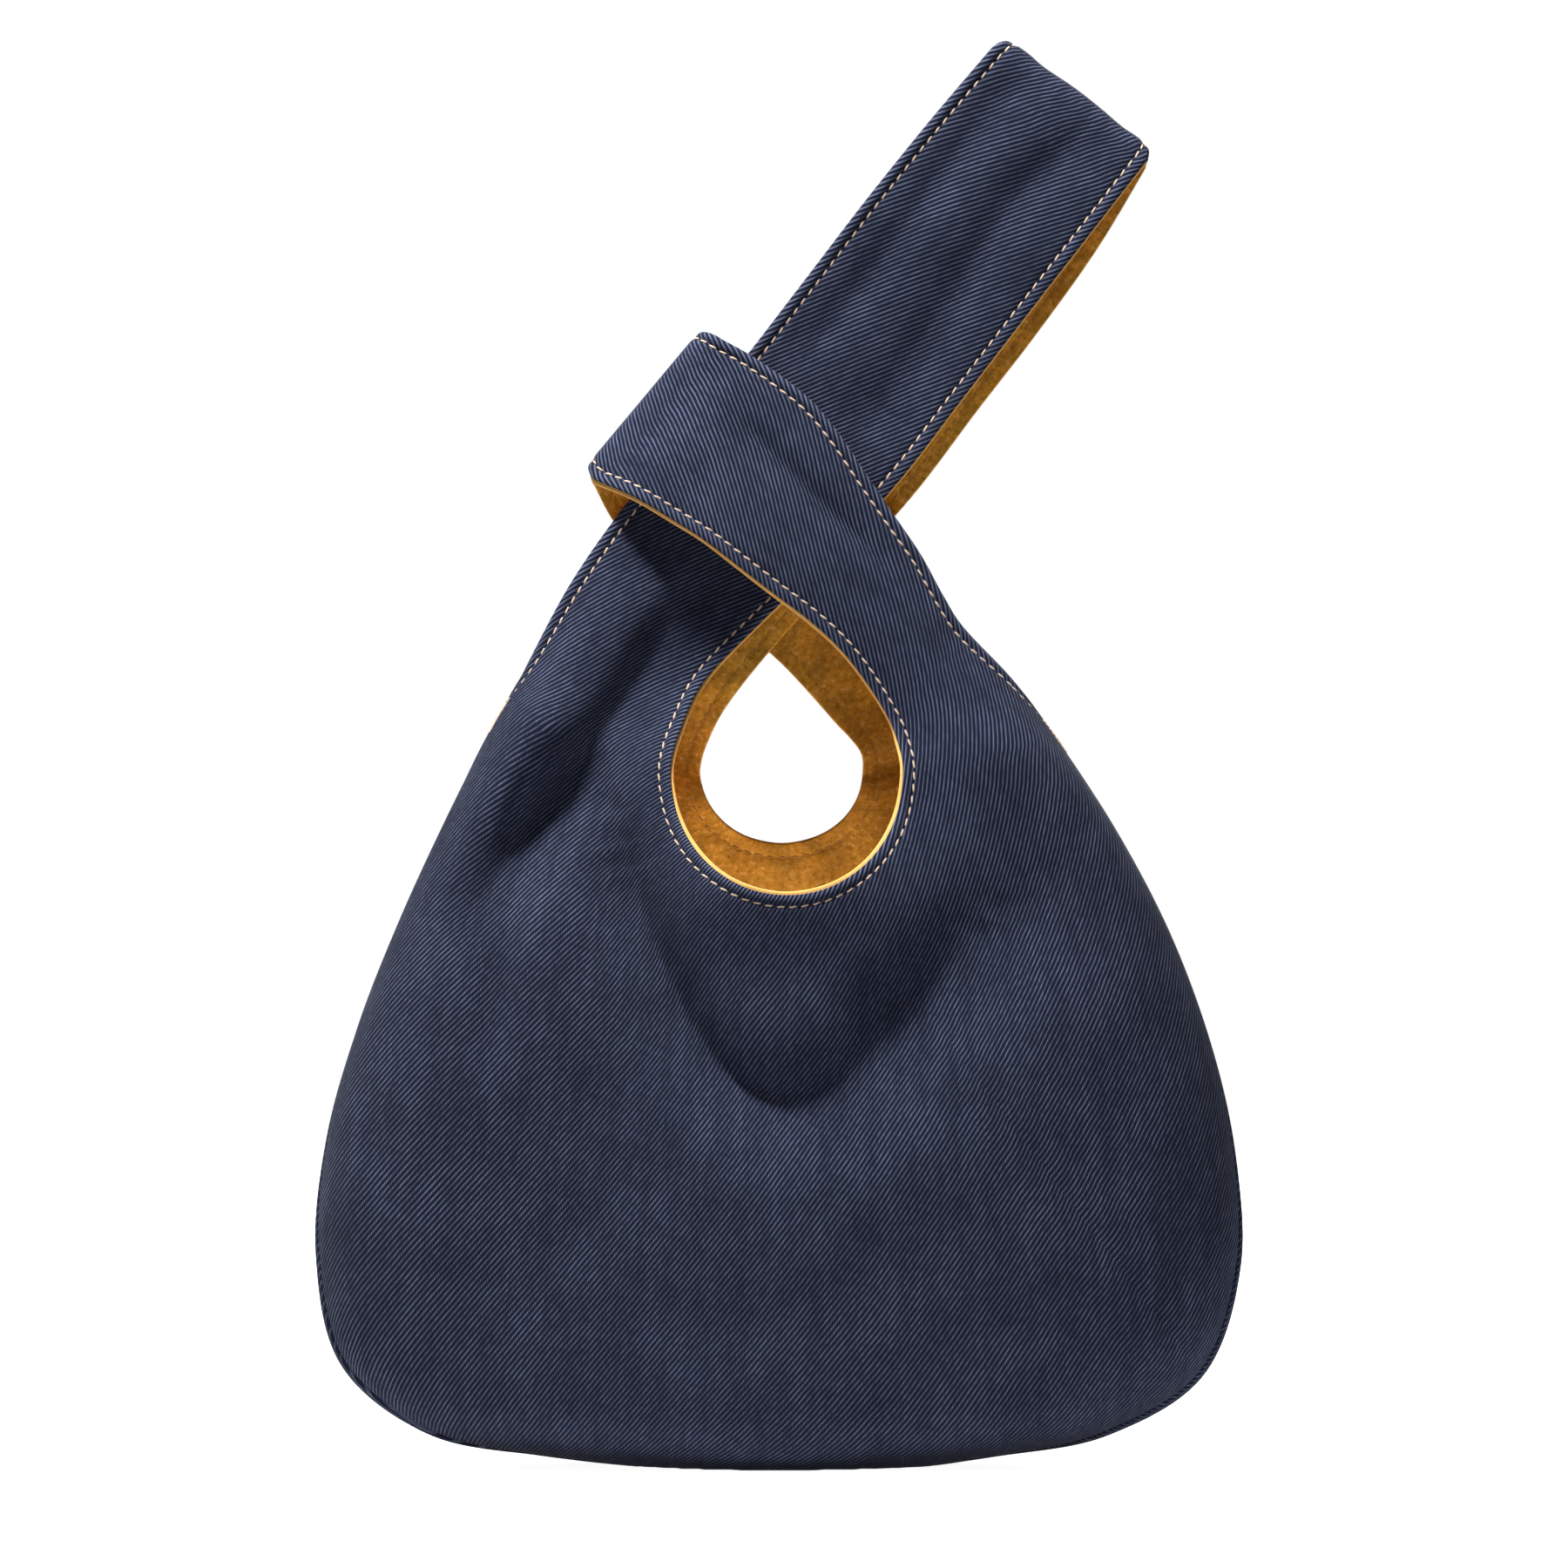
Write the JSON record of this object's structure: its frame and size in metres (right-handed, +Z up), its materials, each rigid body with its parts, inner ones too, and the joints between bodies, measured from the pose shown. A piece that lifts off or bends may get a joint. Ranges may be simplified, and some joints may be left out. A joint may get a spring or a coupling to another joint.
{
  "type": "knot bag",
  "caption": "Thick cloth wrist bag with a leather lining, whose long doubled handle passes through a short doubled loop to close a teardrop mouth.",
  "frame": {"origin": "on the floor, under the middle of the bag's overall box", "axes": "+Z up, along the bag's height; -Y towards the front, the side with the larger teardrop mouth; +X to the right as seen from the front, the side that the handle leans to"},
  "size_m": [0.2701, 0.0772, 0.4169],
  "materials": {
    "denim": "dry unwashed indigo three-by-one twill, matt, with pale weft flecks",
    "lining": "ochre suede, matt nap, with a smooth brighter cut edge"
  },
  "bodies": {
    "bag": {"body_denim_front": "denim", "body_denim_back": "denim", "body_lining_front": "lining", "body_lining_back": "lining", "handle_fold_denim_front": "denim", "handle_fold_denim_back": "denim", "handle_fold_lining_front": "lining", "handle_fold_lining_back": "lining", "shoulder_denim_front": "denim", "shoulder_denim_back": "denim", "shoulder_lining_front": "lining", "shoulder_lining_back": "lining"},
    "handle": {"handle_denim_front": "denim", "handle_denim_back": "denim", "handle_lining_front": "lining", "handle_lining_back": "lining"},
    "loop": {"loop_denim_front": "denim", "loop_denim_back": "denim", "loop_lining_front": "lining", "loop_lining_back": "lining"}
  },
  "joints": [
    {"name": "handle_swing", "type": "hinge", "parent": "bag", "child": "handle", "pos_m": [0.03464, 0, 0.33321], "axis": [0.7923, 0, -0.6101], "range_deg": [-120, 120], "deforming": ["handle_fold_denim_front", "handle_fold_denim_back", "handle_fold_lining_front", "handle_fold_lining_back"]},
    {"name": "loop_slide", "type": "slide", "parent": "bag", "child": "loop", "axis": [0.6101, 0, 0.7923], "range_m": [0, 0.015], "deforming": ["shoulder_denim_front", "shoulder_denim_back", "shoulder_lining_front", "shoulder_lining_back"]}
  ]
}
